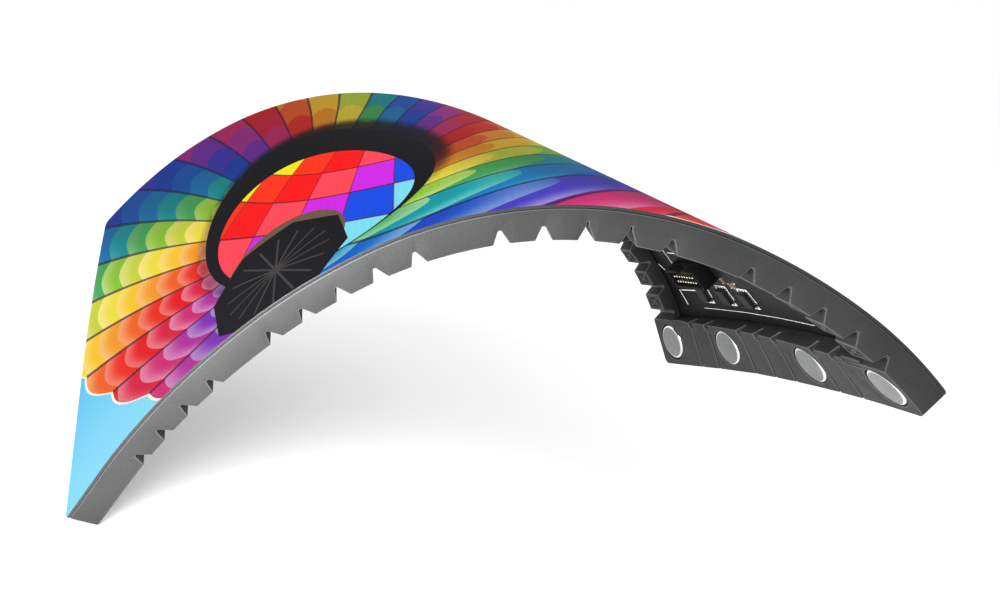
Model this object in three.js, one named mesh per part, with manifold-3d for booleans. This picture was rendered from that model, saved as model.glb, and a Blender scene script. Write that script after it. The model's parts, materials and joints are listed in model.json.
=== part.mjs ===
// Flexible LED display module, 320 x 160 mm, bent into a diagonal arch. Millimetres, +Z up.
//
// The panel is drawn flat in panel coordinates: u along the long edge, v across it, and depth from
// the lit face towards the back. It is then sliced along parallel diagonal hinge lines into rigid
// strips, and each strip is turned to its place on the arch. Every hinge line runs along Y.
// One strip lies level with its lit face up, and the origin is in the middle of its back plane.
import * as THREE from "three";
import { mergeVertices } from "three/addons/utils/BufferGeometryUtils.js";
import Module from "manifold-3d";

// Panel
const LENGTH = 320;
const WIDTH = 160;
const THICKNESS = 10;
const CORNER = 2.5;

// Layers, as depth from the lit face
const FACE_BACK = 1.4;
const BOARD_FRONT = 1.7;
const BOARD_BACK = 3.3;
const POCKET_BACK = 3.6;
const SKIRT = 1.4;
const BOARD_INSET = 1.7;
const POCKET_CORNER = 0.1;

// Moulded frame: long bars, end bars, cross ribs, and the notches that let them bend
const LONG_BAR = 12;
const END_BAR = 20;
const RIB_WIDTH = 7.5;
const NOTCH_PITCH = 12.5;
const FIRST_NOTCH = -10;
const LAST_NOTCH = 11;
const RIB_STATIONS = [-6, 0, 6];
const NOTCH_MOUTH = 5;
const NOTCH_DEPTH = 4;
const GROOVE_MOUTH = 2.6;
const GROOVE_DEPTH = 2;
const GROOVE_STATIONS = [-4, -3, -1, 0, 1, 3, 4];

// Holding magnets in the end bars
const MAGNET_RADIUS = 7.5;
const MAGNET_THICKNESS = 3;
const MAGNET_SIDES = 24;
const SEAT_GAP = 0.3;
const MAGNET_ROWS = [10, 52.5, 107.5, 150];

// Diagonal hinge lines, and the bend at each, from the left end to the right end
const HINGE_SLANT = Math.atan2(62.5, 160);
const STRIP = 37.5 * Math.cos(HINGE_SLANT);
const BENDS_DEG = [8, 9, 13, 19, 20, 17, 12, 17, 24];
const TIGHTEST_BEND_DEG = 25;
const CUT_GAP = 0.3;
const LEVEL_STRIP = 5;

// Parts soldered to the back of the board: size along u, size along v, and depths
const PART_FRONT = 3.6;
const CHIP = { alongU: 7, alongV: 6, back: 5.2 };
const HEADER = { alongU: 9, alongV: 28, back: 9.6, wall: 1.2, floor: 5 };
const POWER = { alongU: 10, alongV: 17, back: 9.6, wall: 1.2, floor: 5 };

// Where they sit, right of centre; the left-hand ones are turned half round the panel's centre
const HEADER_SPOT = [276.5, 111.5];
const CHIP_SPOTS = [[288.5, 82.5], [288.5, 100.5], [288.5, 118.5]];
const POWER_SPOT = [104, 80];

// Cutters pass this far beyond what they cut; the strip cutters reach past the whole sheet
const OVERSHOOT = 1;
const REACH = 260;
const WELD = 1e-4;
const DEGREE = Math.PI / 180;

const wasm = await Module();
wasm.setup();

// ---- Solids in panel coordinates: X is u, Y is v, Z is minus the depth ----

function solidOf(geometry) {
  const bare = geometry.clone();
  bare.deleteAttribute("normal");
  bare.deleteAttribute("uv");
  const merged = mergeVertices(bare, WELD);
  return new wasm.Manifold(
    new wasm.Mesh({
      numProp: 3,
      vertProperties: new Float32Array(merged.attributes.position.array),
      triVerts: new Uint32Array(merged.index.array),
    }),
  );
}

function geometryOf(solid) {
  const mesh = solid.getMesh();
  const geometry = new THREE.BufferGeometry();
  geometry.setAttribute("position", new THREE.BufferAttribute(mesh.vertProperties, 3));
  geometry.setIndex(new THREE.BufferAttribute(mesh.triVerts, 1));
  const flat = geometry.toNonIndexed();
  flat.computeVertexNormals();
  return flat;
}

function block(u0, u1, v0, v1, front, back) {
  const geometry = new THREE.BoxGeometry(u1 - u0, v1 - v0, back - front);
  geometry.translate((u0 + u1) / 2, (v0 + v1) / 2, -(front + back) / 2);
  return solidOf(geometry);
}

// A plate the size of the panel less an inset, with cut corners.
function plate(inset, corner, front, back) {
  const [u0, u1, v0, v1] = [inset, LENGTH - inset, inset, WIDTH - inset];
  const outline = new THREE.Shape();
  outline.moveTo(u0 + corner, v0);
  outline.lineTo(u1 - corner, v0);
  outline.lineTo(u1, v0 + corner);
  outline.lineTo(u1, v1 - corner);
  outline.lineTo(u1 - corner, v1);
  outline.lineTo(u0 + corner, v1);
  outline.lineTo(u0, v1 - corner);
  outline.lineTo(u0, v0 + corner);
  outline.closePath();
  const geometry = new THREE.ExtrudeGeometry(outline, {
    depth: back - front,
    bevelEnabled: false,
  });
  geometry.translate(0, 0, -back);
  return solidOf(geometry);
}

// A prism whose outline is drawn as (across, height) and which runs along the given direction.
function prism(points, length, across, along) {
  const outline = new THREE.Shape(points.map(([x, z]) => new THREE.Vector2(x, z)));
  const geometry = new THREE.ExtrudeGeometry(outline, { depth: length, bevelEnabled: false });
  const up = new THREE.Vector3(0, 0, 1);
  geometry.applyMatrix4(new THREE.Matrix4().makeBasis(across, up, along));
  return geometry;
}

// The three corners of a V cut into the back face.
function vOutline(mouth, depth) {
  const spread = (mouth / 2) * ((depth + OVERSHOOT) / depth);
  return [
    [0, depth - THICKNESS],
    [-spread, -THICKNESS - OVERSHOOT],
    [spread, -THICKNESS - OVERSHOOT],
  ];
}

function notchAcrossBar(u, v0, v1) {
  const across = new THREE.Vector3(1, 0, 0);
  const along = new THREE.Vector3(0, -1, 0);
  const geometry = prism(vOutline(NOTCH_MOUTH, NOTCH_DEPTH), v1 - v0, across, along);
  geometry.translate(u, v1, 0);
  return solidOf(geometry);
}

function grooveAcrossBar(v, u0, u1, mouth, depth) {
  const across = new THREE.Vector3(0, 1, 0);
  const along = new THREE.Vector3(1, 0, 0);
  const geometry = prism(vOutline(mouth, depth), u1 - u0, across, along);
  geometry.translate(u0, v, 0);
  return solidOf(geometry);
}

function disc(u, v, radius, front, back) {
  const geometry = new THREE.CylinderGeometry(radius, radius, back - front, MAGNET_SIDES);
  geometry.rotateX(Math.PI / 2);
  geometry.translate(u, v, -(front + back) / 2);
  return solidOf(geometry);
}

// ---- The frame, moulded in one piece ----

function flatFrame() {
  let frame = plate(0, CORNER, BOARD_FRONT, THICKNESS);
  frame = frame.subtract(plate(SKIRT, POCKET_CORNER, 0, POCKET_BACK));

  const ribs = RIB_STATIONS.map((station) => LENGTH / 2 + station * NOTCH_PITCH);
  const lefts = [END_BAR, ...ribs.map((u) => u + RIB_WIDTH / 2)];
  const rights = [...ribs.map((u) => u - RIB_WIDTH / 2), LENGTH - END_BAR];
  lefts.forEach((u0, i) => {
    const window = block(u0, rights[i], LONG_BAR, WIDTH - LONG_BAR, 0, THICKNESS + OVERSHOOT);
    frame = frame.subtract(window);
  });

  for (let station = FIRST_NOTCH; station <= LAST_NOTCH; station += 1) {
    if (RIB_STATIONS.includes(station)) continue;
    const u = LENGTH / 2 + station * NOTCH_PITCH;
    frame = frame.subtract(notchAcrossBar(u, -OVERSHOOT, LONG_BAR + OVERSHOOT));
    frame = frame.subtract(
      notchAcrossBar(u, WIDTH - LONG_BAR - OVERSHOOT, WIDTH + OVERSHOOT),
    );
  }
  for (const station of GROOVE_STATIONS) {
    const v = WIDTH / 2 + station * NOTCH_PITCH;
    for (const u0 of [-OVERSHOOT, LENGTH - END_BAR - OVERSHOOT]) {
      const u1 = u0 + END_BAR + 2 * OVERSHOOT;
      frame = frame.subtract(grooveAcrossBar(v, u0, u1, GROOVE_MOUTH, GROOVE_DEPTH));
    }
    for (const u of ribs) {
      const [u0, u1] = [u - RIB_WIDTH / 2 - OVERSHOOT, u + RIB_WIDTH / 2 + OVERSHOOT];
      frame = frame.subtract(grooveAcrossBar(v, u0, u1, NOTCH_MOUTH, NOTCH_DEPTH));
    }
  }
  for (const u of [END_BAR / 2, LENGTH - END_BAR / 2]) {
    for (const v of MAGNET_ROWS) {
      const floor = THICKNESS - MAGNET_THICKNESS - SEAT_GAP;
      frame = frame.subtract(
        disc(u, v, MAGNET_RADIUS + SEAT_GAP, floor, THICKNESS + OVERSHOOT),
      );
    }
  }
  return frame;
}

// ---- Slicing into strips, and placing each strip on the arch ----

const STRIPS = BENDS_DEG.length + 1;
const WORST_HALF_CUT = Math.tan((TIGHTEST_BEND_DEG * DEGREE) / 2);

// The bend of a hinge line spreads over one strip width, so its axis lies just under the lit face.
function hingeDepth(index) {
  const half = (BENDS_DEG[index] * DEGREE) / 2;
  return (STRIP / (2 * half)) * (1 - half / Math.tan(half));
}

// The space that one strip may fill: it narrows towards the back, so that the sheet can bend.
function strip(index) {
  const left = (index - STRIPS / 2) * STRIP;
  const right = left + STRIP;
  const back = THICKNESS + OVERSHOOT;
  const leftEdge = [];
  const rightEdge = [];
  if (index === 0) {
    leftEdge.push([-REACH, OVERSHOOT], [-REACH, -back]);
  } else {
    const depth = hingeDepth(index - 1);
    const x = left + CUT_GAP / 2;
    leftEdge.push([x, OVERSHOOT], [x, -depth], [x + (back - depth) * WORST_HALF_CUT, -back]);
  }
  if (index === STRIPS - 1) {
    rightEdge.push([REACH, -back], [REACH, OVERSHOOT]);
  } else {
    const depth = hingeDepth(index);
    const x = right - CUT_GAP / 2;
    rightEdge.push([x - (back - depth) * WORST_HALF_CUT, -back], [x, -depth], [x, OVERSHOOT]);
  }
  const across = new THREE.Vector3(1, 0, 0);
  const along = new THREE.Vector3(0, -1, 0);
  const geometry = prism([...leftEdge, ...rightEdge], 2 * REACH, across, along);
  geometry.translate(0, REACH, 0);
  return solidOf(geometry);
}

// From panel coordinates to the sheet's own: X across the hinge lines, Y along them.
function turned(solid) {
  return solid
    .translate([-LENGTH / 2, -WIDTH / 2, 0])
    .rotate([0, 0, -HINGE_SLANT / DEGREE]);
}

// Each strip's tilt about Y, and the place of the middle of its lit face.
function archPlaces() {
  const places = new Array(STRIPS);
  places[LEVEL_STRIP] = { tilt: 0, x: 0, z: THICKNESS };
  for (let i = LEVEL_STRIP; i < STRIPS - 1; i += 1) {
    const half = (BENDS_DEG[i] * DEGREE) / 2;
    const chord = (STRIP * Math.sin(half)) / half;
    const { tilt, x, z } = places[i];
    places[i + 1] = {
      tilt: tilt + 2 * half,
      x: x + chord * Math.cos(tilt + half),
      z: z - chord * Math.sin(tilt + half),
    };
  }
  for (let i = LEVEL_STRIP; i > 0; i -= 1) {
    const half = (BENDS_DEG[i - 1] * DEGREE) / 2;
    const chord = (STRIP * Math.sin(half)) / half;
    const { tilt, x, z } = places[i];
    places[i - 1] = {
      tilt: tilt - 2 * half,
      x: x - chord * Math.cos(tilt - half),
      z: z + chord * Math.sin(tilt - half),
    };
  }
  return places;
}

const module320 = new THREE.Group();
const stripGroups = archPlaces().map(({ tilt, x, z }, index) => {
  const group = new THREE.Group();
  group.position.set(x, 0, z);
  group.rotation.y = tilt;
  group.userData.middle = (index + 0.5 - STRIPS / 2) * STRIP;
  module320.add(group);
  return group;
});

function addPiece(name, solid, index, look) {
  const group = stripGroups[index];
  const mesh = new THREE.Mesh(
    geometryOf(solid.translate([-group.userData.middle, 0, 0])),
    new THREE.MeshStandardMaterial(look),
  );
  mesh.name = name;
  group.add(mesh);
}

function stripOf([u, v]) {
  const x =
    (u - LENGTH / 2) * Math.cos(HINGE_SLANT) + (v - WIDTH / 2) * Math.sin(HINGE_SLANT);
  return Math.floor(x / STRIP + STRIPS / 2);
}

function oppositeSpot([u, v]) {
  return [LENGTH - u, WIDTH - v];
}

// ---- Face, board and frame, one slice of each to a strip ----

const faceLook = { color: 0x2b7fd0, roughness: 0.45, metalness: 0 };
const boardLook = { color: 0x101214, roughness: 0.5, metalness: 0 };
const rubberLook = { color: 0x4a4c4f, roughness: 0.8, metalness: 0 };

const flatFace = turned(plate(0, CORNER, 0, FACE_BACK));
const flatBoard = turned(plate(BOARD_INSET, CORNER, BOARD_FRONT, BOARD_BACK));
const frame = turned(flatFrame());

const middleY = (solid) => {
  const box = solid.boundingBox();
  return (box.min[1] + box.max[1]) / 2;
};

for (let index = 0; index < STRIPS; index += 1) {
  const space = strip(index);
  const number = index + 1;
  addPiece(`lit_face_${number}`, flatFace.intersect(space), index, faceLook);
  addPiece(`circuit_board_${number}`, flatBoard.intersect(space), index, boardLook);
  const slices = frame.intersect(space).decompose();
  slices.sort((a, b) => middleY(a) - middleY(b));
  const sides = slices.length === 1 ? ["end"] : ["near", "far"];
  slices.forEach((slice, i) => {
    addPiece(`frame_${sides[i]}_${number}`, slice, index, rubberLook);
  });
}

// ---- Magnets in the end bars ----

const magnetLook = { color: 0xb9bcc0, roughness: 0.25, metalness: 1 };

for (const [side, u] of [["left", END_BAR / 2], ["right", LENGTH - END_BAR / 2]]) {
  MAGNET_ROWS.forEach((v, i) => {
    const front = THICKNESS - MAGNET_THICKNESS;
    const magnet = turned(disc(u, v, MAGNET_RADIUS, front, THICKNESS));
    addPiece(`magnet_${side}_${i + 1}`, magnet, stripOf([u, v]), magnetLook);
  });
}

// ---- Plug-in headers and chips on the back of the board ----

const plasticLook = { color: 0x161617, roughness: 0.5, metalness: 0 };
const powerLook = { color: 0xe8e6df, roughness: 0.5, metalness: 0 };

function partBlock([u, v], size, front, back) {
  const [halfU, halfV] = [size.alongU / 2, size.alongV / 2];
  return block(u - halfU, u + halfU, v - halfV, v + halfV, front, back);
}

// An open box that a plug pushes into.
function socket(spot, size) {
  const hollow = {
    alongU: size.alongU - 2 * size.wall,
    alongV: size.alongV - 2 * size.wall,
  };
  const outside = partBlock(spot, size, PART_FRONT, size.back);
  return outside.subtract(partBlock(spot, hollow, size.floor, size.back + OVERSHOOT));
}

const headerSpots = { input: oppositeSpot(HEADER_SPOT), output: HEADER_SPOT };
for (const [use, spot] of Object.entries(headerSpots)) {
  addPiece(`${use}_header`, turned(socket(spot, HEADER)), stripOf(spot), plasticLook);
}
addPiece("power_header", turned(socket(POWER_SPOT, POWER)), stripOf(POWER_SPOT), powerLook);

CHIP_SPOTS.forEach((spot, i) => {
  const places = { right: spot, left: oppositeSpot(spot) };
  for (const [side, place] of Object.entries(places)) {
    const chip = turned(partBlock(place, CHIP, PART_FRONT, CHIP.back));
    addPiece(`chip_${side}_${i + 1}`, chip, stripOf(place), plasticLook);
  }
});

export default module320;
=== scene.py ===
import json
import math

import bpy
import numpy as np
from mathutils import Matrix, Vector


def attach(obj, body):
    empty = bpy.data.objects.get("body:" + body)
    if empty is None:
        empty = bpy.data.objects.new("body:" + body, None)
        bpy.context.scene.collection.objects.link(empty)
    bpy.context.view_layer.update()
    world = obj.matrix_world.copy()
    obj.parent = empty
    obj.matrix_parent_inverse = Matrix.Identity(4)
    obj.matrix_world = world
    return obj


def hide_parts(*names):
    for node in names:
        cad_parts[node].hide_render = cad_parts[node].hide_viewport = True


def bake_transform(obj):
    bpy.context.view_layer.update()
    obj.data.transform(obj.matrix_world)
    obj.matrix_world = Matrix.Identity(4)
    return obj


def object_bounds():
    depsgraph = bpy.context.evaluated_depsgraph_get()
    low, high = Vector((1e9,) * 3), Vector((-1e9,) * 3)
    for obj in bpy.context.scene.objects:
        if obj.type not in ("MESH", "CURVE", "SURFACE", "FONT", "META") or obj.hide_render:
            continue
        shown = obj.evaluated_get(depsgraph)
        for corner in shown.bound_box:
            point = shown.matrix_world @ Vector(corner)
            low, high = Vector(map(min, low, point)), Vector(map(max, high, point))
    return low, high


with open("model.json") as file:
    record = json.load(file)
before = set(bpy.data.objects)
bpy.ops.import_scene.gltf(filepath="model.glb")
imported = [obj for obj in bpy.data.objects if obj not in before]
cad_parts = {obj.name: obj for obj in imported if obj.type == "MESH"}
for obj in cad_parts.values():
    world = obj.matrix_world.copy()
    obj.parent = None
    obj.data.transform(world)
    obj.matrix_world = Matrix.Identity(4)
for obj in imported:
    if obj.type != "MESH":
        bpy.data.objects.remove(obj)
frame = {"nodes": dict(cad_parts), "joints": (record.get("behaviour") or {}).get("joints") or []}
cad_low, cad_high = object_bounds()

# Camera: low at the near left of the arch, looking along its underside.
camera_data = bpy.data.cameras.new("camera")
camera_data.lens = 36.85
camera_data.sensor_width = 36
camera_data.clip_start = 0.01
camera_data.clip_end = 50
camera = bpy.data.objects.new("camera", camera_data)
bpy.context.collection.objects.link(camera)
camera.location = (-0.15726, -0.31437, 0.06239)
camera.rotation_euler = (math.radians(72.44), math.radians(-9.91), math.radians(-25.61))
bpy.context.scene.camera = camera


# ---------------------------------------------------------------------------
# The frame: one soft black rubber moulding, 320 x 160 mm, with two long bars, two end bars and
# three cross ribs round the windows that show the board. Notches let the long bars bend.
# Everything is modelled flat, in millimetres: X is u, Y is v and Z is minus the depth from the
# lit face. lay_on_arch() then cuts it into spans and bends each one onto the arch.

LENGTH = 320
WIDTH = 160
THICKNESS = 10
# Depths from the lit face: the face's own back, and the frame's front and its pocket.
FACE_BACK = 0.9
FRAME_FRONT = 1.0
POCKET_BACK = 3.6
# Widths of the frame's members. Notches and ribs stand at stations, one pitch apart.
SKIRT = 1.4
LONG_BAR = 12
END_BAR = 20
RIB_WIDTH = 7.5
PITCH = 12.5
RIB_STATIONS = (-6, 0, 6)


def start_fresh():
    if bpy.context.object and bpy.context.object.mode != "OBJECT":
        bpy.ops.object.mode_set(mode="OBJECT")
    bpy.ops.object.select_all(action="DESELECT")


def only(obj):
    start_fresh()
    obj.select_set(True)
    bpy.context.view_layer.objects.active = obj


def block(name, u, v, depth):
    """A box between two values of u, of v, and of depth from the lit face."""
    start_fresh()
    middle = ((u[0] + u[1]) / 2, (v[0] + v[1]) / 2, -(depth[0] + depth[1]) / 2)
    bpy.ops.mesh.primitive_cube_add(size=1, location=middle)
    obj = bpy.context.active_object
    obj.name = name
    obj.scale = (u[1] - u[0], v[1] - v[0], depth[1] - depth[0])
    bpy.ops.object.transform_apply(location=True, rotation=True, scale=True)
    return obj


def narrow_front(obj, along_u, along_v):
    """Scales the side nearest the lit face about its own middle."""
    only(obj)
    top = max(corner.co.z for corner in obj.data.vertices)
    for corner in obj.data.vertices:
        corner.select = abs(corner.co.z - top) < 1e-4
    for group in (obj.data.edges, obj.data.polygons):
        for item in group:
            item.select = all(obj.data.vertices[i].select for i in item.vertices)
    front = [corner.co for corner in obj.data.vertices if corner.select]
    middle = sum(front, Vector()) / len(front)
    bpy.ops.object.mode_set(mode="EDIT")
    bpy.ops.transform.resize(value=(along_u, along_v, 1), center_override=middle)
    bpy.ops.object.mode_set(mode="OBJECT")
    return obj


def row_of(obj, count, step):
    """Repeats a shape at even steps."""
    only(obj)
    array = obj.modifiers.new("row", "ARRAY")
    array.count = count
    array.use_relative_offset = False
    array.use_constant_offset = True
    array.constant_offset_displace = step
    bpy.ops.object.modifier_apply(modifier="row")
    return obj


def join(name, objects):
    only(objects[0])
    for obj in objects:
        obj.select_set(True)
    bpy.ops.object.join()
    objects[0].name = name
    return objects[0]


def cut(obj, cutters):
    """Takes the cutters out of the shape, and removes them."""
    cutter = join("cutter", cutters)
    only(obj)
    boolean = obj.modifiers.new("cut", "BOOLEAN")
    boolean.operation = "DIFFERENCE"
    boolean.solver = "EXACT"
    boolean.object = cutter
    bpy.ops.object.modifier_apply(modifier="cut")
    bpy.data.objects.remove(cutter)
    return obj


def round_edges(obj, width, segments, angle_deg=35, look=-1):
    """Rounds the sharp edges. The rounded faces may take another of the shape's materials."""
    only(obj)
    bevel = obj.modifiers.new("round", "BEVEL")
    bevel.width = width
    bevel.segments = segments
    bevel.limit_method = "ANGLE"
    bevel.angle_limit = math.radians(angle_deg)
    bevel.use_clamp_overlap = False
    bevel.material = look
    bpy.ops.object.modifier_apply(modifier="round")
    return obj


def round_corners(obj, width, segments):
    """Rounds only the four corners that are seen from in front."""
    only(obj)
    bpy.context.tool_settings.mesh_select_mode = (False, True, False)
    for group in (obj.data.vertices, obj.data.polygons):
        for item in group:
            item.select = False
    for edge in obj.data.edges:
        first, second = (obj.data.vertices[i].co for i in edge.vertices)
        edge.select = abs(first.x - second.x) < 1e-4 and abs(first.y - second.y) < 1e-4
    bpy.ops.object.mode_set(mode="EDIT")
    bpy.ops.mesh.bevel(offset=width, segments=segments, affect="EDGES")
    bpy.ops.object.mode_set(mode="OBJECT")
    bpy.context.tool_settings.mesh_select_mode = (True, False, False)
    return obj


def station_u(station):
    return LENGTH / 2 + station * PITCH


rubber = block("moulded_frame", (0, LENGTH), (0, WIDTH), (FRAME_FRONT, THICKNESS))
round_corners(rubber, 2.2, 4)
below = THICKNESS + 1
pocket = block("pocket", (SKIRT, LENGTH - SKIRT), (SKIRT, WIDTH - SKIRT), (0, POCKET_BACK))
ribs = [station_u(station) for station in RIB_STATIONS]
window_lefts = [END_BAR] + [u + RIB_WIDTH / 2 for u in ribs]
window_rights = [u - RIB_WIDTH / 2 for u in ribs] + [LENGTH - END_BAR]
windows = [
    block("window", (left, right), (LONG_BAR, WIDTH - LONG_BAR), (POCKET_BACK - 1, below))
    for left, right in zip(window_lefts, window_rights)
]
cut(rubber, [pocket])
cut(rubber, windows)

# Notches across the long bars, between the ribs: 5 mm wide at the back and 4 mm deep.
notches = []
for first, count in ((-10, 4), (-5, 5), (1, 5), (7, 5)):
    u = station_u(first)
    for v in ((-1, LONG_BAR + 1), (WIDTH - LONG_BAR - 1, WIDTH + 1)):
        notch = block("notch", (u - 3.0, u + 3.0), v, (6, below))
        narrow_front(notch, 0.14, 1)
        notches.append(row_of(notch, count, (PITCH, 0, 0)))
cut(rubber, notches)

# Narrow grooves across the end bars, each with a deeper V at the inner edge, and deep notches
# across the ribs. Each end bar has four round seats for magnets.
grooves = []
deep_grooves = []
for station in (-4, -3, -1, 0, 1, 3, 4):
    v = WIDTH / 2 + station * PITCH
    for end, inner in (((-1, END_BAR + 1), (END_BAR - 2.6, END_BAR + 1)),
                       ((LENGTH - END_BAR - 1, LENGTH + 1),
                        (LENGTH - END_BAR - 1, LENGTH - END_BAR + 2.6))):
        groove = block("groove", end, (v - 0.75, v + 0.75), (8.6, below))
        grooves.append(narrow_front(groove, 1, 0.3))
        deep = block("deep_groove", inner, (v - 2.2, v + 2.2), (6.2, below))
        deep_grooves.append(narrow_front(deep, 1, 0.12))
    for u in ribs:
        rib_cut = block("rib_cut", (u - RIB_WIDTH / 2 - 1, u + RIB_WIDTH / 2 + 1),
                        (v - 3.0, v + 3.0), (6, below))
        grooves.append(narrow_front(rib_cut, 1, 0.14))
cut(rubber, grooves)
cut(rubber, deep_grooves)

MAGNET_SPOTS = [(u, v) for u in (10, 310) for v in (10, 52.5, 107.5, 150)]
seats = []
for u, v in MAGNET_SPOTS:
    start_fresh()
    bpy.ops.mesh.primitive_cylinder_add(vertices=64, radius=7.95, depth=8, location=(u, v, -10.7))
    seats.append(bpy.context.active_object)
cut(rubber, seats)

# Slots in the end bars, beside the last notch, where the mould parts.
slots = []
for u in ((6.5, 17.5), (302.5, 313.5)):
    for v in ((19.6, 20.6), (139.4, 140.4)):
        slots.append(block("slot", (u[0] + 3, u[1] - 5), v, (9, below)))
for u in ((20.5, 21.6), (298.4, 299.5)):
    for v in ((14.5, 24.5), (135.5, 145.5)):
        slots.append(block("slot", (u[0] - 3, u[1] + 3), v, (9.2, below)))
for station in (3, 4):
    u = station_u(station)
    slots.append(block("slit", (u - 0.2, u + 0.2), (-1, 4), (4.7, 7)))
cut(rubber, slots)


def new_group(name, inputs, outputs):
    group = bpy.data.node_groups.new(name, "ShaderNodeTree")
    for label, kind in inputs:
        group.interface.new_socket(label, in_out="INPUT", socket_type=kind)
    for label, kind in outputs:
        group.interface.new_socket(label, in_out="OUTPUT", socket_type=kind)
    return group, group.nodes.new("NodeGroupInput"), group.nodes.new("NodeGroupOutput")


def material(name, colour, roughness, metallic=0.0):
    made = bpy.data.materials.new(name)
    made.use_nodes = True
    shader = made.node_tree.nodes["Principled BSDF"]
    shader.inputs["Base Color"].default_value = (*colour, 1)
    shader.inputs["Roughness"].default_value = roughness
    shader.inputs["Metallic"].default_value = metallic
    return made, shader


def paint(obj, *looks):
    """Gives a shape its materials, in the order that its faces number them."""
    obj.data.materials.clear()
    for look in looks:
        obj.data.materials.append(look)


# Surface grain, shared by every moulded or coated piece: two sizes of mottling and a fine
# height. Colour comes out lightened and darkened a little, and roughness varies with it.
grain_group, grain_in, grain_out = new_group(
    "surface_grain",
    [("Place", "NodeSocketVector"), ("Dark", "NodeSocketColor"), ("Light", "NodeSocketColor"),
     ("Size", "NodeSocketFloat"), ("Smooth", "NodeSocketFloat"), ("Rough", "NodeSocketFloat")],
    [("Color", "NodeSocketColor"), ("Roughness", "NodeSocketFloat"),
     ("Height", "NodeSocketFloat")],
)
broad = grain_group.nodes.new("ShaderNodeTexNoise")
broad.inputs["Scale"].default_value = 60
broad.inputs["Detail"].default_value = 4
fine = grain_group.nodes.new("ShaderNodeTexNoise")
fine.inputs["Detail"].default_value = 2
mottle = grain_group.nodes.new("ShaderNodeMix")
mottle.data_type = "RGBA"
spread = grain_group.nodes.new("ShaderNodeMapRange")
spread.inputs["From Min"].default_value = 0.3
spread.inputs["From Max"].default_value = 0.7
link = grain_group.links.new
link(grain_in.outputs["Place"], broad.inputs["Vector"])
link(grain_in.outputs["Place"], fine.inputs["Vector"])
link(grain_in.outputs["Size"], fine.inputs["Scale"])
both = grain_group.nodes.new("ShaderNodeMath")
both.operation = "MULTIPLY_ADD"
both.inputs[1].default_value = 0.4
link(fine.outputs["Fac"], both.inputs[0])
part = grain_group.nodes.new("ShaderNodeMath")
part.operation = "MULTIPLY"
part.inputs[1].default_value = 0.6
link(broad.outputs["Fac"], part.inputs[0])
link(part.outputs[0], both.inputs[2])
link(both.outputs[0], spread.inputs["Value"])
link(spread.outputs["Result"], mottle.inputs["Factor"])
link(grain_in.outputs["Dark"], mottle.inputs["A"])
link(grain_in.outputs["Light"], mottle.inputs["B"])
link(mottle.outputs["Result"], grain_out.inputs["Color"])
polish = grain_group.nodes.new("ShaderNodeMapRange")
link(spread.outputs["Result"], polish.inputs["Value"])
link(grain_in.outputs["Rough"], polish.inputs["To Min"])
link(grain_in.outputs["Smooth"], polish.inputs["To Max"])
link(polish.outputs["Result"], grain_out.inputs["Roughness"])
link(fine.outputs["Fac"], grain_out.inputs["Height"])


def grained(name, dark, light, size, smooth, rough, bump, metallic=0.0):
    made, shader = material(name, dark, rough, metallic)
    nodes = made.node_tree.nodes
    place = nodes.new("ShaderNodeTexCoord")
    grain = nodes.new("ShaderNodeGroup")
    grain.node_tree = grain_group
    grain.inputs["Dark"].default_value = (*dark, 1)
    grain.inputs["Light"].default_value = (*light, 1)
    grain.inputs["Size"].default_value = size
    grain.inputs["Smooth"].default_value = smooth
    grain.inputs["Rough"].default_value = rough
    relief = nodes.new("ShaderNodeBump")
    relief.inputs["Strength"].default_value = bump
    relief.inputs["Distance"].default_value = 0.0002
    connect = made.node_tree.links.new
    connect(place.outputs["Object"], grain.inputs["Place"])
    connect(grain.outputs["Color"], shader.inputs["Base Color"])
    connect(grain.outputs["Roughness"], shader.inputs["Roughness"])
    connect(grain.outputs["Height"], relief.inputs["Height"])
    connect(relief.outputs["Normal"], shader.inputs["Normal"])
    return made, shader


# Rubber is matt dark grey. Its rounded edges are paler, for rubbing wear and a painted highlight,
# and walls in notches, windows and grooves are darker, as painted shade.
rubber_look, rubber_shader = grained(
    "moulded_rubber", (0.017, 0.0172, 0.0175), (0.024, 0.0242, 0.0245), 1500, 0.6, 0.8, 0.3)
worn_and_highlit_look, worn_and_highlit_shader = grained(
    "worn_and_highlit_edges", (0.042, 0.0425, 0.043), (0.06, 0.0605, 0.061), 1500, 0.4, 0.6, 0.25)
for shader in (rubber_shader, worn_and_highlit_shader):
    shader.inputs["Specular IOR Level"].default_value = 0.35
# Darker rubber for the walls of notches, windows and grooves: painted shade.
shade_look, shade_shader = grained(
    "painted_shade_rubber", (0.012, 0.012, 0.013), (0.020, 0.020, 0.021), 1500, 0.6, 0.8, 0.2)
shade_shader.inputs["Specular IOR Level"].default_value = 0.2
paint(rubber, rubber_look, worn_and_highlit_look, shade_look)
# Walls of notches, windows and grooves, where shadow falls, take the darker rubber as painted
# shade.
for wall in rubber.data.polygons:
    u, v, _ = wall.center
    in_long_bar = v < LONG_BAR or v > WIDTH - LONG_BAR
    between_ends = END_BAR - 1 < u < LENGTH - END_BAR + 1
    between_sides = LONG_BAR - 1 < v < WIDTH - LONG_BAR + 1
    in_notch = abs(wall.normal.x) > 0.5 and in_long_bar and 3 < u < LENGTH - 3
    in_window = abs(wall.normal.z) < 0.3 and between_ends and between_sides
    in_groove = abs(wall.normal.z) < 0.95 and abs(wall.normal.y) > 0.3 and between_sides
    if in_notch or in_window or in_groove:
        wall.material_index = 2
# The rounded edges take the paler rubber: rubbing wear plus a painted highlight.
round_edges(rubber, 0.32, 2, angle_deg=32, look=1)

# Each block of the long bars is cored out behind, which leaves a border and a cross.
cores = []


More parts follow.
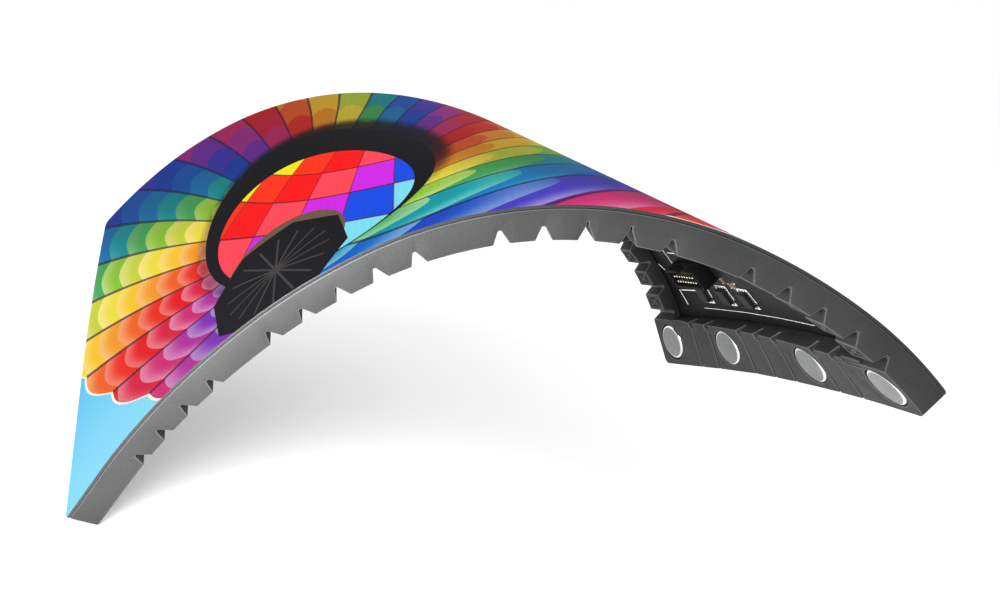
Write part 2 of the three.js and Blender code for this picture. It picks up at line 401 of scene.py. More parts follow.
def core(u, v, base, height, turn):
    """A three-sided hollow, with its base across and its point away from it."""
    start_fresh()
    bpy.ops.mesh.primitive_cylinder_add(vertices=3, radius=1, depth=3, location=(0, 0, -11))
    obj = bpy.context.active_object
    obj.scale = (base / math.sqrt(3), height / 1.5, 1)
    bpy.ops.object.transform_apply(location=True, rotation=True, scale=True)
    obj.rotation_euler = (0, 0, turn)
    obj.location = (u, v, 0)
    bpy.ops.object.transform_apply(location=True, rotation=True, scale=True)
    return obj


for first, count in ((-10, 3), (-5, 4), (1, 4), (7, 4)):
    u = station_u(first) + PITCH / 2
    for v in (LONG_BAR / 2, WIDTH - LONG_BAR / 2):
        for du, dv, base, height, turn in ((0, -3.3, 4.0, 2.3, 0), (0, 3.3, 4.0, 2.3, math.pi),
                                           (-1.9, 0, 6.6, 1.3, -math.pi / 2),
                                           (1.9, 0, 6.6, 1.3, math.pi / 2)):
            cores.append(row_of(core(u + du, v + dv, base, height, turn), count, (PITCH, 0, 0)))
cut(rubber, cores)

# The sheet bends at nine parallel lines, and each line's bend spreads over one strip width.
HINGE_SLANT = math.atan2(62.5, 160)
STRIP = 37.5 * math.cos(HINGE_SLANT)
ACROSS = Vector((math.cos(HINGE_SLANT), math.sin(HINGE_SLANT), 0))
CENTRE = Vector((LENGTH / 2, WIDTH / 2, 0))
SPANS = len(frame["joints"])
LEVEL_STRIP = 5  # the sixth strip, counted from 0, lies level
joints = {joint["name"]: joint for joint in frame["joints"]}
hinges = [joints[f"bend_{i + 1}"] for i in range(SPANS)]
BENDS = [math.radians(-hinge["range_deg"][0]) for hinge in hinges]
PIVOTS = [np.array((hinge["pos_m"][0], hinge["pos_m"][2])) for hinge in hinges]


def turned(points, angle):
    """Turns (x, z) points about Y."""
    c, s = np.cos(angle), np.sin(angle)
    x, z = points[..., 0], points[..., 1]
    return np.stack((x * c + z * s, z * c - x * s), axis=-1)


# For each strip, the tilt and the shift that carry the flat sheet's (x, z) onto it.
tilts = [0.0] * (SPANS + 1)
shifts = [None] * (SPANS + 1)
shifts[LEVEL_STRIP] = np.array((-0.5 * STRIP * 0.001, THICKNESS * 0.001))
for i in range(LEVEL_STRIP, SPANS):
    tilts[i + 1] = tilts[i] + BENDS[i]
    shifts[i + 1] = PIVOTS[i] + turned(shifts[i] - PIVOTS[i], BENDS[i])
for i in range(LEVEL_STRIP, 0, -1):
    tilts[i - 1] = tilts[i] - BENDS[i - 1]
    shifts[i - 1] = PIVOTS[i - 1] + turned(shifts[i] - PIVOTS[i - 1], -BENDS[i - 1])


def mid_strip(index):
    along = np.array(((index + 0.5 - (SPANS + 1) / 2) * STRIP * 0.001, 0.0))
    return turned(along, tilts[index]) + shifts[index]


def on_arch(points, span):
    """Carries flat points, in millimetres, onto the bent sheet, in metres.

    Each span is a circular arc from one strip's middle to the next, and keeps its length on the
    lit face. The free ends beyond the first and last arcs are straight."""
    flat = (np.asarray(points, float) - np.array(CENTRE)) * 0.001
    c, s = math.cos(HINGE_SLANT), math.sin(HINGE_SLANT)
    across = flat[:, 0] * c + flat[:, 1] * s
    along = -flat[:, 0] * s + flat[:, 1] * c
    gone = across - (span - SPANS / 2) * STRIP * 0.001
    on_bend = np.clip(gone, 0, STRIP * 0.001)
    radius = STRIP * 0.001 / BENDS[span]
    turn = on_bend / radius
    rise_on_bend = radius * (np.cos(turn) - 1)
    arc = np.stack((radius * np.sin(turn), rise_on_bend), axis=-1)
    offset = turned(np.stack((gone - on_bend, flat[:, 2]), axis=-1), turn)
    place = turned(arc + offset, tilts[span]) + mid_strip(span)
    return np.stack((place[:, 0], along, place[:, 1]), axis=-1)


def bisect(obj, across, clear_inner=False, clear_outer=False):
    """Cuts the mesh along a line parallel to the hinges, so many millimetres past the middle."""
    only(obj)
    bpy.ops.object.mode_set(mode="EDIT")
    bpy.ops.mesh.select_all(action="SELECT")
    bpy.ops.mesh.bisect(plane_co=CENTRE + ACROSS * across, plane_no=ACROSS,
                        clear_inner=clear_inner, clear_outer=clear_outer, threshold=1e-5)
    bpy.ops.object.mode_set(mode="OBJECT")


def set_uvs(obj):
    """UVs are the place on the flat sheet, from 0 to 1 along and across."""
    layer = obj.data.uv_layers.get("UVMap") or obj.data.uv_layers.new(name="UVMap")
    corners = np.array([v.co for v in obj.data.vertices], float)
    index = np.zeros(len(obj.data.loops), int)
    obj.data.loops.foreach_get("vertex_index", index)
    layer.data.foreach_set("uv", (corners[index, :2] / (LENGTH, WIDTH)).astype("f").ravel())


def lay_on_arch(flat, name, cuts, crease_deg=30):
    """Slices a flat shape into spans and bends each between its two strips."""
    pieces = []
    low = min((v.co - CENTRE).dot(ACROSS) for v in flat.data.vertices)
    high = max((v.co - CENTRE).dot(ACROSS) for v in flat.data.vertices)
    for span in range(SPANS):
        left = (span - SPANS / 2) * STRIP
        right = left + STRIP
        if (span < SPANS - 1 and right < low) or (span > 0 and left > high):
            continue
        only(flat)
        bpy.ops.object.duplicate()
        piece = bpy.context.active_object
        if span > 0:
            bisect(piece, left, clear_inner=True)
        if span < SPANS - 1:
            bisect(piece, right, clear_outer=True)
        if len(piece.data.polygons) == 0:
            bpy.data.objects.remove(piece)
            continue
        for i in range(1, cuts):
            bisect(piece, left + STRIP * i / cuts)
        piece.name = f"{name}_{span + 1}"
        set_uvs(piece)
        corners = np.array([v.co for v in piece.data.vertices], float)
        piece.data.vertices.foreach_set("co", on_arch(corners, span).astype("f").ravel())
        piece.data.update()
        only(piece)
        bpy.ops.object.shade_smooth_by_angle(angle=math.radians(crease_deg))
        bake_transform(piece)
        pieces.append((span, piece))
    bpy.data.objects.remove(flat)
    return pieces


def stands_for(pieces, pattern):
    """Each piece stands for its own slice of the CAD, and the last one for two."""
    for span, piece in pieces:
        numbers = [span + 1] + ([SPANS + 1] if span == SPANS - 1 else [])
        for number in numbers:
            for node in frame["nodes"]:
                if node.startswith(pattern) and node.endswith(f"_{number}"):
                    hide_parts(node)


frame_pieces = lay_on_arch(rubber, "rubber_frame", cuts=8, crease_deg=28)
stands_for(frame_pieces, "frame_")


# ---------------------------------------------------------------------------
# The circuit board: thin, black and flexible, lying in the frame's pocket against the skirt.
# It carries the lamps in front and the chips behind.

BOARD_EDGE = 1.7
BOARD_FRONT = 1.7
BOARD_BACK = 3.3
board = block("board", (BOARD_EDGE, LENGTH - BOARD_EDGE), (BOARD_EDGE, WIDTH - BOARD_EDGE),
              (BOARD_FRONT, BOARD_BACK))
round_corners(board, 2.0, 3)
round_edges(board, 0.12, 1, angle_deg=60)
board_look, board_shader = grained(
    "solder_mask", (0.0015, 0.0016, 0.0018), (0.0035, 0.0037, 0.004), 700, 0.5, 0.65, 0.12)
board_shader.inputs["Specular IOR Level"].default_value = 0.2
paint(board, board_look)
stands_for(lay_on_arch(board, "flexible_board", cuts=8), "circuit_board_")


# ---------------------------------------------------------------------------
# White print on the back of the board: outlines round the chips, and a few long guide lines.
# It is a thin raised layer of ink.

PRINT = (3.28, 3.36)
CHIP_SPOTS = [(288.5, 82.5), (288.5, 100.5), (288.5, 118.5)]
MIRROR_SPOTS = [(LENGTH - u, WIDTH - v) for u, v in CHIP_SPOTS]


def print_line(start, end, width):
    length = math.dist(start, end)
    line = block("print", (-length / 2, length / 2), (-width / 2, width / 2), PRINT)
    line.rotation_euler = (0, 0, math.atan2(end[1] - start[1], end[0] - start[0]))
    line.location = ((start[0] + end[0]) / 2, (start[1] + end[1]) / 2, 0)
    only(line)
    bpy.ops.object.transform_apply(location=True, rotation=True, scale=True)
    return line


prints = []
for u, v in CHIP_SPOTS + MIRROR_SPOTS:
    for du in (-4.6, 4.6):
        prints.append(print_line((u + du, v - 4.2), (u + du, v + 4.2), 0.35))
    for dv in (-4.4, 4.4):
        prints.append(print_line((u - 4.7, v + dv), (u + 2.0, v + dv), 0.3))
    for dv in (-3.4, -1.1, 1.1, 3.4):
        prints.append(print_line((u - 4.5, v + dv), (u - 3.6, v + dv), 0.8))
        prints.append(print_line((u + 3.6, v + dv), (u + 4.3, v + dv), 0.9))
for start, end in (((275.3, 147.4), (283.6, 137.4)), ((287.9, 138.8), (287.7, 125)),
                   ((287.7, 140.4), (294.8, 138.3)), ((262, 98), (254, 98)),
                   ((281, 84), (284, 88)), ((268.5, 94), (268.5, 129)),
                   ((264, 132), (281, 132)), ((256, 128), (256, 98))):
    prints.append(print_line(start, end, 0.35))
    prints.append(print_line((LENGTH - start[0], WIDTH - start[1]),
                             (LENGTH - end[0], WIDTH - end[1]), 0.35))
for u in (296, LENGTH - 296):
    prints.append(print_line((u, WIDTH / 2 - 36), (u, WIDTH / 2 + 46), 0.16))
ink_look, _ = grained(
    "white_print", (0.82, 0.82, 0.80), (0.95, 0.95, 0.94), 900, 0.5, 0.7, 0.1)
ink = join("ink", prints)
paint(ink, ink_look)
lay_on_arch(ink, "white_print", cuts=4)


# ---------------------------------------------------------------------------
# Chips: black moulded packages with two rows of tinned legs, soldered to the board. Three drive
# each end, and smaller ones run in columns across the middle.

chips = []
legs = []
for u, v in CHIP_SPOTS + MIRROR_SPOTS:
    chips.append(block("chip", (u - 3.5, u + 3.5), (v - 3, v + 3), (3.6, 5.2)))
    for side in (-1, 1):
        leg = block("leg", (u - 3.1, u - 2.75), (v + side * 3.5 - 0.6, v + side * 3.5 + 0.6),
                    (3.3, 3.75))
        legs.append(row_of(leg, 8, (0.82, 0, 0)))
COLUMNS = (33, 52, 71, 104, 123, 142, 179, 198, 217, 250)
for u in COLUMNS:
    for v in (28, 54, 106, 132):
        if math.dist((u, v), (104, 80)) < 12:
            continue
        chips.append(block("chip", (u - 2, u + 2), (v - 4.3, v + 4.3), (3.6, 5.1)))
        for side in (-1, 1):
            leg = block("leg", (u + side * 2.6 - 0.6, u + side * 2.6 + 0.6),
                        (v - 3.8, v - 3.55), (3.3, 3.7))
            legs.append(row_of(leg, 12, (0, 0.66, 0)))
chip = join("chip", chips)
round_edges(chip, 0.25, 2, angle_deg=60)
epoxy_look, epoxy_shader = grained(
    "moulded_epoxy", (0.003, 0.003, 0.0035), (0.007, 0.007, 0.008), 2500, 0.45, 0.6, 0.2)
epoxy_shader.inputs["Specular IOR Level"].default_value = 0.25
paint(chip, epoxy_look)
tin_look, _ = grained(
    "tinned_metal", (0.55, 0.55, 0.56), (0.72, 0.72, 0.73), 900, 0.25, 0.45, 0.15, metallic=1)
leg = join("leg", legs)
paint(leg, tin_look)
chip_pieces = lay_on_arch(chip, "chips", cuts=4)
lay_on_arch(leg, "chip_legs", cuts=2)
for span, piece in chip_pieces:
    if span == 1:
        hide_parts("chip_left_1", "chip_left_2", "chip_left_3")
    if span == 7:
        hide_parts("chip_right_1", "chip_right_2", "chip_right_3")

# Small resistors and capacitors: a dark or tan body between two tinned ends.
bodies = []
ends = []
for u in COLUMNS:
    for v in (41, 118):
        body = block("resistor", (u - 0.8, u + 0.8), (v - 0.45, v + 0.45), (3.3, 3.95))
        bodies.append(row_of(body, 3, (0, 2.2, 0)))
        for side in (-1, 1):
            cap = block("cap", (u + side * 1.0 - 0.3, u + side * 1.0 + 0.3),
                        (v - 0.48, v + 0.48), (3.28, 4.0))
            ends.append(row_of(cap, 3, (0, 2.2, 0)))
for spots in ([(282, 85.5), (282, 88.0), (280, 92)], [(38, 74.5), (38, 72.0), (40, 68)]):
    for u, v in spots:
        bodies.append(block("resistor", (u - 0.9, u + 0.9), (v - 0.5, v + 0.5), (3.3, 4.1)))
        for side in (-1, 1):
            ends.append(block("cap", (u + side * 1.1 - 0.3, u + side * 1.1 + 0.3),
                              (v - 0.55, v + 0.55), (3.28, 4.15)))
tan_look, _ = grained(
    "ceramic", (0.10, 0.062, 0.035), (0.17, 0.115, 0.07), 1500, 0.35, 0.5, 0.1)
body = join("resistor", bodies)
paint(body, tan_look)
cap = join("cap", ends)
paint(cap, tin_look)
lay_on_arch(body, "resistors", cuts=1)
lay_on_arch(cap, "resistor_ends", cuts=1)


# ---------------------------------------------------------------------------
# Headers: an open black box with two rows of eight pins at each end, for the signal ribbon, and
# a pale one with four blades in the middle, for power. Each is soldered flat to the board.

def tangent_place(u, v):
    """The turn and shift that lay a rigid flat piece on the bent sheet at one spot."""
    across = (Vector((u, v, 0)) - CENTRE).dot(ACROSS)
    span = min(max(math.floor(across / STRIP + SPANS / 2), 0), SPANS - 1)
    middle, right, far = on_arch([(u, v, -5), (u + 1, v, -5), (u, v + 1, -5)], span)
    x_axis = Vector(right - middle).normalized()
    z_axis = x_axis.cross(Vector(far - middle)).normalized()
    y_axis = z_axis.cross(x_axis)
    turn = Matrix((x_axis, y_axis, z_axis)).transposed().to_4x4()
    strip_number = math.floor(across / STRIP + (SPANS + 1) / 2) + 1
    shift = Matrix.Translation(Vector(middle))
    return shift @ turn @ Matrix.Scale(0.001, 4) @ Matrix.Translation((-u, -v, 5)), strip_number


def lay_rigid(obj, u, v, slot, *nodes, crease_deg=30):
    """Lays a finished flat piece on the sheet at one spot. It rides on that spot's strip."""
    place, number = tangent_place(u, v)
    set_uvs(obj)
    obj.data.transform(place)
    obj.data.update()
    only(obj)
    bpy.ops.object.shade_smooth_by_angle(angle=math.radians(crease_deg))
    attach(obj, f"strip_{number}")
    if nodes:
        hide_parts(*nodes)


black_look, black_shader = grained(
    "header_plastic", (0.0015, 0.0015, 0.0017), (0.003, 0.003, 0.0033), 1800, 0.6, 0.75, 0.15)
black_shader.inputs["Specular IOR Level"].default_value = 0.1
pale_look, _ = grained(
    "power_plastic", (0.70, 0.69, 0.64), (0.78, 0.77, 0.73), 900, 0.35, 0.5, 0.1)
# Pin sides are dark gold, darkened as painted shade, and pin tips are pale, as a painted
# highlight.
shaded_gold_look, _ = grained(
    "painted_shade_gilt_pins", (0.10, 0.085, 0.05), (0.16, 0.13, 0.08), 900, 0.3, 0.45, 0.05, metallic=1)
highlit_tip_look, _ = grained(
    "painted_highlight_pin_tips", (0.86, 0.84, 0.78), (0.95, 0.94, 0.90), 900, 0.3, 0.45, 0.05)


def header(name, u, v, half_u, half_v, look):
    shell = block(name, (u - half_u, u + half_u), (v - half_v, v + half_v), (3.6, 9.6))
    hollow = block("hollow", (u - half_u + 1.2, u + half_u - 1.2),
                   (v - half_v + 1.2, v + half_v - 1.2), (5, 12))
    key = block("key", (u - half_u - 1, u - half_u + 1.5), (v - 2.2, v + 2.2), (6.2, 12))
    cut(shell, [hollow])
    cut(shell, [key])
    paint(shell, look)
    return round_edges(shell, 0.18, 2, angle_deg=40)


for use, u, v in (("output", 276.5, 111.5), ("input", 43.5, 48.5)):
    shell = header(f"{use}_shell", u, v, 4.5, 14, black_look)
    lay_rigid(shell, u, v, "header_plastic", f"{use}_header")
    pin = block("pin", (u - 1.59, u - 0.95), (v - 9.2, v - 8.56), (4.5, 9.3))
    narrow_front(pin, 1, 1)
    row_of(pin, 8, (0, 2.54, 0))
    row_of(pin, 2, (2.54, 0, 0))
    pin.name = f"{use}_pins"
    paint(pin, shaded_gold_look, highlit_tip_look)
    round_edges(pin, 0.14, 2, angle_deg=60)
    # Faces at the pin tips take the painted highlight; the other faces take the painted shade.
    for side in pin.data.polygons:
        side.material_index = 1 if side.normal.z < -0.5 or side.center.z < -8.6 else 0
    lay_rigid(pin, u, v, "magnet")

shell = header("power_shell", 104, 80, 5, 8.5, pale_look)
lay_rigid(shell, 104, 80, "power_plastic", "power_header")
blade = block("power_blades", (103.5, 104.5), (75.3, 76.3), (4.5, 9.3))
row_of(blade, 4, (0, 2.9, 0))
paint(blade, tin_look)
round_edges(blade, 0.15, 2, angle_deg=60)
lay_rigid(blade, 104, 80, "magnet")


# ---------------------------------------------------------------------------
# Magnets: eight plated discs, 15 mm across and 3 mm thick, pressed into the seats of the end
# bars. They hold the whole panel to a steel frame behind it.

plate_look, _ = grained(
    "plated_face", (0.20, 0.205, 0.21), (0.29, 0.295, 0.30), 500, 0.3, 0.42, 0.1, metallic=1)
bright_look, _ = grained(
    "plated_rim", (0.80, 0.80, 0.81), (0.92, 0.92, 0.93), 500, 0.1, 0.2, 0.05, metallic=1)
for index, (u, v) in enumerate(MAGNET_SPOTS):
    side = "left" if index < 4 else "right"
    name = f"magnet_{side}_{index % 4 + 1}"
    start_fresh()
    bpy.ops.mesh.primitive_cylinder_add(vertices=96, radius=7.4, depth=3, location=(u, v, -8.5))
    disc = bpy.context.active_object
    disc.name = f"plated_{name}"
    bpy.ops.object.transform_apply(location=True, rotation=True, scale=True)
    disc.data.materials.append(plate_look)
    disc.data.materials.append(bright_look)
    round_edges(disc, 1.0, 4, angle_deg=60, look=1)
    for face in disc.data.polygons:
        if abs(face.normal.z) < 0.95:
            face.material_index = 1
    lay_rigid(disc, u, v, "magnet", name, crease_deg=50)


# ---------------------------------------------------------------------------
# The lit face: a black mask over a grid of lamps 2.5 mm apart. It shows a picture of a hot-air
# balloon seen from below, made here from ellipses, gores and rings.

face = block("face", (0, LENGTH), (0, WIDTH), (0, FACE_BACK))
round_corners(face, 2.2, 4)
round_edges(face, 0.15, 1, angle_deg=60)
mask_look, _ = grained(
    "black_mask", (0.006, 0.006, 0.007), (0.012, 0.012, 0.013), 1200, 0.4, 0.6, 0.15)

RAINBOW = ((20, 70, 190), (70, 60, 190), (125, 45, 175), (175, 45, 150), (205, 40, 110),
           (215, 25, 60), (225, 10, 20), (235, 40, 20), (240, 95, 25), (245, 150, 30),
           (248, 195, 40), (240, 220, 60), (200, 210, 60), (140, 195, 50), (70, 170, 90),
           (0, 150, 160), (0, 125, 190), (5, 95, 195))
CHECKS = ((248, 232, 15), (255, 50, 5), (252, 4, 0), (255, 70, 85), (210, 35, 230),
          (0, 75, 230), (125, 222, 245))

picture, picture_in, picture_out = new_group(
    "balloon_picture", [("Place", "NodeSocketVector")], [("Color", "NodeSocketColor")])


def feed(socket, value):
    if isinstance(value, bpy.types.NodeSocket):
        picture.links.new(value, socket)
    elif isinstance(value, tuple):
        socket.default_value = (*(part / 255 for part in value), 1)
    else:
        socket.default_value = value


def calc(operation, *values):
    node = picture.nodes.new("ShaderNodeMath")
    node.operation = operation
    for socket, value in zip(node.inputs, values):
        feed(socket, value)
    return node.outputs[0]


def rise(value, low, high):
    """0 below low, 1 above high, and a smooth rise between."""
    node = picture.nodes.new("ShaderNodeMapRange")
    node.interpolation_type = "SMOOTHSTEP"
    feed(node.inputs["Value"], value)
    node.inputs["From Min"].default_value = low
    node.inputs["From Max"].default_value = high
    return node.outputs["Result"]


def mixed(share, first, second):
    node = picture.nodes.new("ShaderNodeMix")
    node.data_type = "RGBA"
    feed(node.inputs["Factor"], share)
    feed(node.inputs[6], first)
    feed(node.inputs[7], second)
    return node.outputs[2]


def dimmed(tint, share):
    node = picture.nodes.new("ShaderNodeVectorMath")
    node.operation = "SCALE"
    feed(node.inputs[0], tint)
    feed(node.inputs["Scale"], share)
    return node.outputs[0]


def steps(tints, share):
    """One flat tint for each equal part of 0 to 1."""
    node = picture.nodes.new("ShaderNodeValToRGB")
    node.color_ramp.interpolation = "CONSTANT"
    while len(node.color_ramp.elements) < len(tints):
        node.color_ramp.elements.new(0.5)
    for i, tint in enumerate(tints):
        node.color_ramp.elements[i].position = i / len(tints)
    for i, tint in enumerate(tints):
        node.color_ramp.elements[i].color = (*(part / 255 for part in tint), 1)
    feed(node.inputs["Fac"], share)
    return node.outputs["Color"]


def length_of(x, y):
    return calc("SQRT", calc("ADD", calc("MULTIPLY", x, x), calc("MULTIPLY", y, y)))


axes = picture.nodes.new("ShaderNodeSeparateXYZ")
picture.links.new(picture_in.outputs["Place"], axes.inputs[0])
along = calc("MULTIPLY", axes.outputs["X"], float(LENGTH))
across = calc("MULTIPLY", axes.outputs["Y"], float(WIDTH))


def ellipse(u, v, half_u, half_v):
    """1 on the ellipse, less inside it and more outside."""
    return length_of(calc("DIVIDE", calc("SUBTRACT", along, u), half_u),
                     calc("DIVIDE", calc("SUBTRACT", across, v), half_v))


# Rings of the balloon: circles whose centres drift and whose radii grow, from the mouth (0) to
# the widest part (1).
FLATTEN = 0.86
MOUTH_U, MOUTH_V, MOUTH_R = 115.0, 60.0 * FLATTEN, 43.0
DRIFT_U, DRIFT_V, DRIFT_R = 17.0, 58.0 * FLATTEN, 92.0
OPENNESS = DRIFT_R ** 2 - DRIFT_U ** 2 - DRIFT_V ** 2
from_mouth_u = calc("SUBTRACT", along, MOUTH_U)
from_mouth_v = calc("SUBTRACT", calc("MULTIPLY", across, FLATTEN), MOUTH_V)
toward = calc("ADD", calc("ADD", calc("MULTIPLY", from_mouth_u, DRIFT_U),
                          calc("MULTIPLY", from_mouth_v, DRIFT_V)), MOUTH_R * DRIFT_R)
beyond = calc("SUBTRACT", calc("ADD", calc("MULTIPLY", from_mouth_u, from_mouth_u),
                               calc("MULTIPLY", from_mouth_v, from_mouth_v)), MOUTH_R ** 2)
root = calc("SQRT", calc("MAXIMUM", calc("ADD", calc("MULTIPLY", toward, toward),
                                         calc("MULTIPLY", beyond, OPENNESS)), 0.0))
ring_place = calc("DIVIDE", calc("SUBTRACT", root, toward), OPENNESS)
outward = calc("MAXIMUM", ring_place, 0.0)
angle = calc("ARCTAN2",
             calc("SUBTRACT", from_mouth_v, calc("MULTIPLY", ring_place, DRIFT_V)),
             calc("SUBTRACT", from_mouth_u, calc("MULTIPLY", ring_place, DRIFT_U)))

# Gores run out from the mouth and lean over towards the right.
east = calc("MAXIMUM", calc("COSINE", calc("ADD", angle, 0.25)), 0.0)
lean = calc("ADD", calc("MULTIPLY", east, 1.5), calc("MULTIPLY", calc("SINE", angle), 0.5))
swept = calc("SUBTRACT", angle, calc("MULTIPLY", lean, calc("POWER", outward, 0.8)))
crowd = calc("MULTIPLY", calc("ADD", calc("COSINE", angle), 1.0), 0.25)
gore = calc("MULTIPLY", calc("ADD", calc("SUBTRACT", swept, crowd), 7.0), 27 / math.tau)
gore_share = calc("FRACT", gore)
bulge = calc("MULTIPLY", calc("SINE", calc("MULTIPLY", gore_share, math.pi)), 0.35)
ring = calc("SUBTRACT", calc("MULTIPLY", calc("POWER", outward, 0.85), 6.0), bulge)
tint_number = calc("ADD", calc("SUBTRACT", calc("FLOOR", ring),
                               calc("MULTIPLY", calc("FLOOR", gore), 2.0)), 201.5)
gore_angle = calc("SUBTRACT", calc("MULTIPLY", calc("FLOOR", gore), math.tau / 27), 7.0)
tint_number = calc("ADD", tint_number, calc("ROUND", calc(
    "ADD", calc("MULTIPLY", calc("COSINE", gore_angle), 1.6), 3.4)))
tint = steps(RAINBOW, calc("FRACT", calc("DIVIDE", tint_number, 18.0)))

# Sunlight comes through at the lower left; the top and the right stay deep.
depth_share = rise(calc("ADD", across, calc("MULTIPLY", along, 0.55)), 105, 160)
glow = calc("MULTIPLY", calc("SUBTRACT", 1.0, depth_share), rise(calc("FRACT", ring), 0.2, 1.0))
tint = mixed(calc("MULTIPLY", glow, 0.42), tint, (255, 250, 225))
tint = dimmed(tint, calc("SUBTRACT", 1.0, calc("MULTIPLY", depth_share, 0.28)))
seam = calc("MAXIMUM", calc("LESS_THAN", gore_share, 0.05),
            calc("GREATER_THAN", gore_share, 0.97))
tint = mixed(calc("MULTIPLY", seam, 0.6), tint, (30, 20, 50))
shadow = calc("MULTIPLY", calc("SUBTRACT", 1.0, rise(ring_place, 0.0, 0.06)),
              calc("ADD", calc("MULTIPLY", depth_share, 0.5), 0.25))
tint = dimmed(tint, calc("SUBTRACT", 1.0, shadow))

# Sky past the edge of the balloon, which has a pale hem.
sky = mixed(rise(across, 0, 70), (135, 220, 250), (95, 195, 245))
hem = calc("ADD", calc("ADD", calc("MULTIPLY", across, 0.03), 4.45),
           calc("MULTIPLY", calc("MAXIMUM", calc("SUBTRACT", along, 150), 0.0), 0.021))
tint = mixed(calc("GREATER_THAN", ring, calc("SUBTRACT", hem, 0.09)), tint, (255, 245, 225))
tint = mixed(calc("GREATER_THAN", ring, hem), tint, sky)

# The mouth: a black collar, and the checked lining seen through it.
leaned = calc("ADD", along, calc("MULTIPLY", calc("SUBTRACT", across, 58), 0.12))
collar = length_of(calc("DIVIDE", calc("SUBTRACT", leaned, 115), 41.5),
                   calc("DIVIDE", calc("SUBTRACT", across, 58), 51.0))
tint = mixed(calc("LESS_THAN", collar, 1.0), tint, (8, 6, 14))
# Columns of checks fan out below a line at u = 144, and rows sag towards the right.
fan = calc("DIVIDE", calc("SUBTRACT", 144, along),
           calc("SUBTRACT", 1.57, calc("MULTIPLY", across, 0.0095)))
column = calc("DIVIDE", fan, calc("ADD", calc("MULTIPLY", fan, 0.07), 11.3))
past = calc("SUBTRACT", along, 120)
past_squared = calc("MULTIPLY", past, past)
level = calc("DIVIDE", calc("ADD", calc("ADD", across, calc("MULTIPLY", past, 0.6)),
                            calc("MULTIPLY", past_squared, 0.00268)),
             calc("ADD", calc("MULTIPLY", past_squared, 0.00026), 1.0))
row = calc("DIVIDE", calc("SUBTRACT", 66, level), 19.0)
check = calc("SUBTRACT", calc("FLOOR", row), calc("FLOOR", column))
lining = steps(CHECKS, calc("DIVIDE", calc("ADD", check, 4.5), 7.0))
row_share = calc("ABSOLUTE", calc("SUBTRACT", calc("FRACT", calc("ADD", row, 0.5)), 0.5))
column_share = calc("ABSOLUTE", calc("SUBTRACT", calc("FRACT", calc("ADD", column, 0.5)), 0.5))
stitch = calc("MAXIMUM", calc("LESS_THAN", row_share, 0.022),
              calc("MULTIPLY", calc("LESS_THAN", column_share, 0.02), 0.6))
lining = mixed(calc("MULTIPLY", stitch, 0.7), lining, (90, 10, 40))
leaned = calc("ADD", along, calc("MULTIPLY", calc("SUBTRACT", across, 47), 0.2))
opening = length_of(calc("DIVIDE", calc("SUBTRACT", leaned, 115), 34.5),
                    calc("DIVIDE", calc("SUBTRACT", across, 47), 39.0))
tint = mixed(calc("LESS_THAN", opening, 1.0), tint, lining)

# The basket hangs below: a dark eight-sided floor with spokes, and a brown padded rim.
tint = mixed(calc("LESS_THAN", ellipse(107, 22, 22, 21), 1.0), tint, (110, 85, 70))
basket_u = calc("DIVIDE", calc("SUBTRACT", along, 105.5), 1.08)
basket_v = calc("SUBTRACT", across, 17)
basket_angle = calc("ARCTAN2", basket_v, basket_u)
basket_reach = length_of(basket_u, basket_v)
facet = calc("SUBTRACT", calc("FRACT", calc("MULTIPLY", calc("ADD", basket_angle, 0.2),
                                            8 / math.tau)), 0.5)
octagon = calc("MULTIPLY", basket_reach, calc("COSINE", calc("MULTIPLY", facet, math.tau / 8)))
tint = mixed(calc("LESS_THAN", octagon, 21.5), tint, (14, 12, 16))
spoke = calc("ABSOLUTE", calc("SUBTRACT", calc("FRACT", calc(
    "ADD", calc("MULTIPLY", basket_angle, 16 / math.tau), 0.5)), 0.5))
spoke = calc("MULTIPLY", calc("LESS_THAN", calc("MULTIPLY", spoke, basket_reach), 0.9),
             calc("LESS_THAN", basket_reach, 17.0))
tint = mixed(calc("MULTIPLY", spoke, 0.5), tint, (120, 115, 110))

# Tints so far are as a screen codes them, and light needs them linear.
linear = picture.nodes.new("ShaderNodeGamma")
linear.inputs["Gamma"].default_value = 2.2
picture.links.new(tint, linear.inputs["Color"])
picture.links.new(linear.outputs["Color"], picture_out.inputs["Color"])

# Lamp cells: a shallow dimple for each lamp, with the mask's ribs between them.
cells, cells_in, cells_out = new_group(
    "lamp_cells", [("Place", "NodeSocketVector")],
    [("Height", "NodeSocketFloat"), ("Light", "NodeSocketFloat")])
cell_count = cells.nodes.new("ShaderNodeVectorMath")
cell_count.operation = "MULTIPLY"
cell_count.inputs[1].default_value = (128, 64, 0)
cell_share = cells.nodes.new("ShaderNodeVectorMath")
cell_share.operation = "FRACTION"
cell_middle = cells.nodes.new("ShaderNodeVectorMath")
cell_middle.operation = "SUBTRACT"
cell_middle.inputs[1].default_value = (0.5, 0.5, 0)
cell_reach = cells.nodes.new("ShaderNodeVectorMath")
cell_reach.operation = "LENGTH"
cell_edge = cells.nodes.new("ShaderNodeMapRange")
cell_edge.inputs["From Min"].default_value = 0.42
cell_edge.inputs["From Max"].default_value = 0.60
cell_light = cells.nodes.new("ShaderNodeMapRange")
cell_light.inputs["To Min"].default_value = 1.0
cell_light.inputs["To Max"].default_value = 0.93
cells.links.new(cells_in.outputs["Place"], cell_count.inputs[0])
cells.links.new(cell_count.outputs[0], cell_share.inputs[0])
cells.links.new(cell_share.outputs[0], cell_middle.inputs[0])
cells.links.new(cell_middle.outputs[0], cell_reach.inputs[0])
cells.links.new(cell_reach.outputs["Value"], cell_edge.inputs["Value"])
cells.links.new(cell_edge.outputs["Result"], cell_light.inputs["Value"])
cells.links.new(cell_edge.outputs["Result"], cells_out.inputs["Height"])
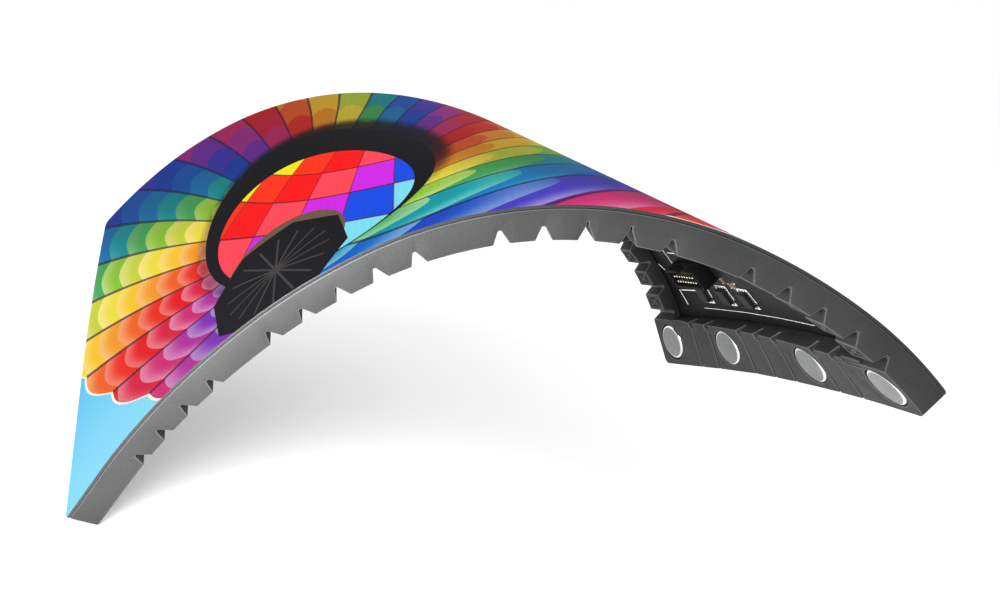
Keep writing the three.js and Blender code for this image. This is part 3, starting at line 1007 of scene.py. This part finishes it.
cells.links.new(cell_light.outputs["Result"], cells_out.inputs["Light"])

lit_look, lit_shader = material("lit_picture", (0.002, 0.002, 0.0025), 0.6)
lit_shader.inputs["Specular IOR Level"].default_value = 0.02
lit_shader.inputs["Emission Strength"].default_value = 1.0
lit = lit_look.node_tree
sheet_place = lit.nodes.new("ShaderNodeTexCoord")
shown = lit.nodes.new("ShaderNodeGroup")
shown.node_tree = picture
lamps = lit.nodes.new("ShaderNodeGroup")
lamps.node_tree = cells
lamp_light = lit.nodes.new("ShaderNodeVectorMath")
lamp_light.operation = "SCALE"
lamp_relief = lit.nodes.new("ShaderNodeBump")
lamp_relief.inputs["Strength"].default_value = 0.3
lamp_relief.inputs["Distance"].default_value = 0.0002
lit.links.new(sheet_place.outputs["UV"], shown.inputs["Place"])
lit.links.new(sheet_place.outputs["UV"], lamps.inputs["Place"])
lit.links.new(shown.outputs["Color"], lamp_light.inputs[0])
lit.links.new(lamps.outputs["Light"], lamp_light.inputs["Scale"])
lit.links.new(lamp_light.outputs[0], lit_shader.inputs["Emission Color"])
lit.links.new(lamps.outputs["Height"], lamp_relief.inputs["Height"])
lit.links.new(lamp_relief.outputs["Normal"], lit_shader.inputs["Normal"])
paint(face, lit_look, mask_look)
for polygon in face.data.polygons:
    polygon.material_index = 0 if polygon.normal.z > 0.9 else 1
stands_for(lay_on_arch(face, "lit_panel", cuts=10), "lit_face_")


# ---------------------------------------------------------------------------
# Stage: a plain pale floor under white surroundings, a soft key light from the near left, and a
# small low fill beside the near left end.

bpy.context.scene.view_settings.view_transform = "Standard"
bpy.ops.object.select_all(action="DESELECT")
bpy.ops.mesh.primitive_plane_add(size=60, location=(0, 0, cad_low[2] - 0.0005))
floor = bpy.context.active_object
floor.name = "floor"
floor_look, floor_shader = material("pale_floor", (0.86, 0.86, 0.86), 0.9)
floor_shader.inputs["Specular IOR Level"].default_value = 0.0
floor_shader.inputs["Emission Color"].default_value = (1, 1, 1, 1)
floor_shader.inputs["Emission Strength"].default_value = 0.14
floor.data.materials.append(floor_look)

world = bpy.data.worlds.new("studio")
world.use_nodes = True
world.node_tree.nodes["Background"].inputs["Color"].default_value = (1, 1, 1, 1)
world.node_tree.nodes["Background"].inputs["Strength"].default_value = 1.0
bpy.context.scene.world = world


def soft_light(name, place, aim, size, power):
    data = bpy.data.lights.new(name, "AREA")
    data.size = size
    data.energy = power
    lamp = bpy.data.objects.new(name, data)
    bpy.context.collection.objects.link(lamp)
    lamp.location = place
    lamp.visible_camera = False
    lamp.rotation_euler = (Vector(aim) - Vector(place)).to_track_quat("-Z", "Y").to_euler()


soft_light("key", (-0.7, -0.9, 0.9), (0, 0, -0.02), 0.8, 9)
soft_light("low_fill", (-0.16, -0.12, -0.03), (-0.08, -0.06, -0.04), 0.08, 0.85)
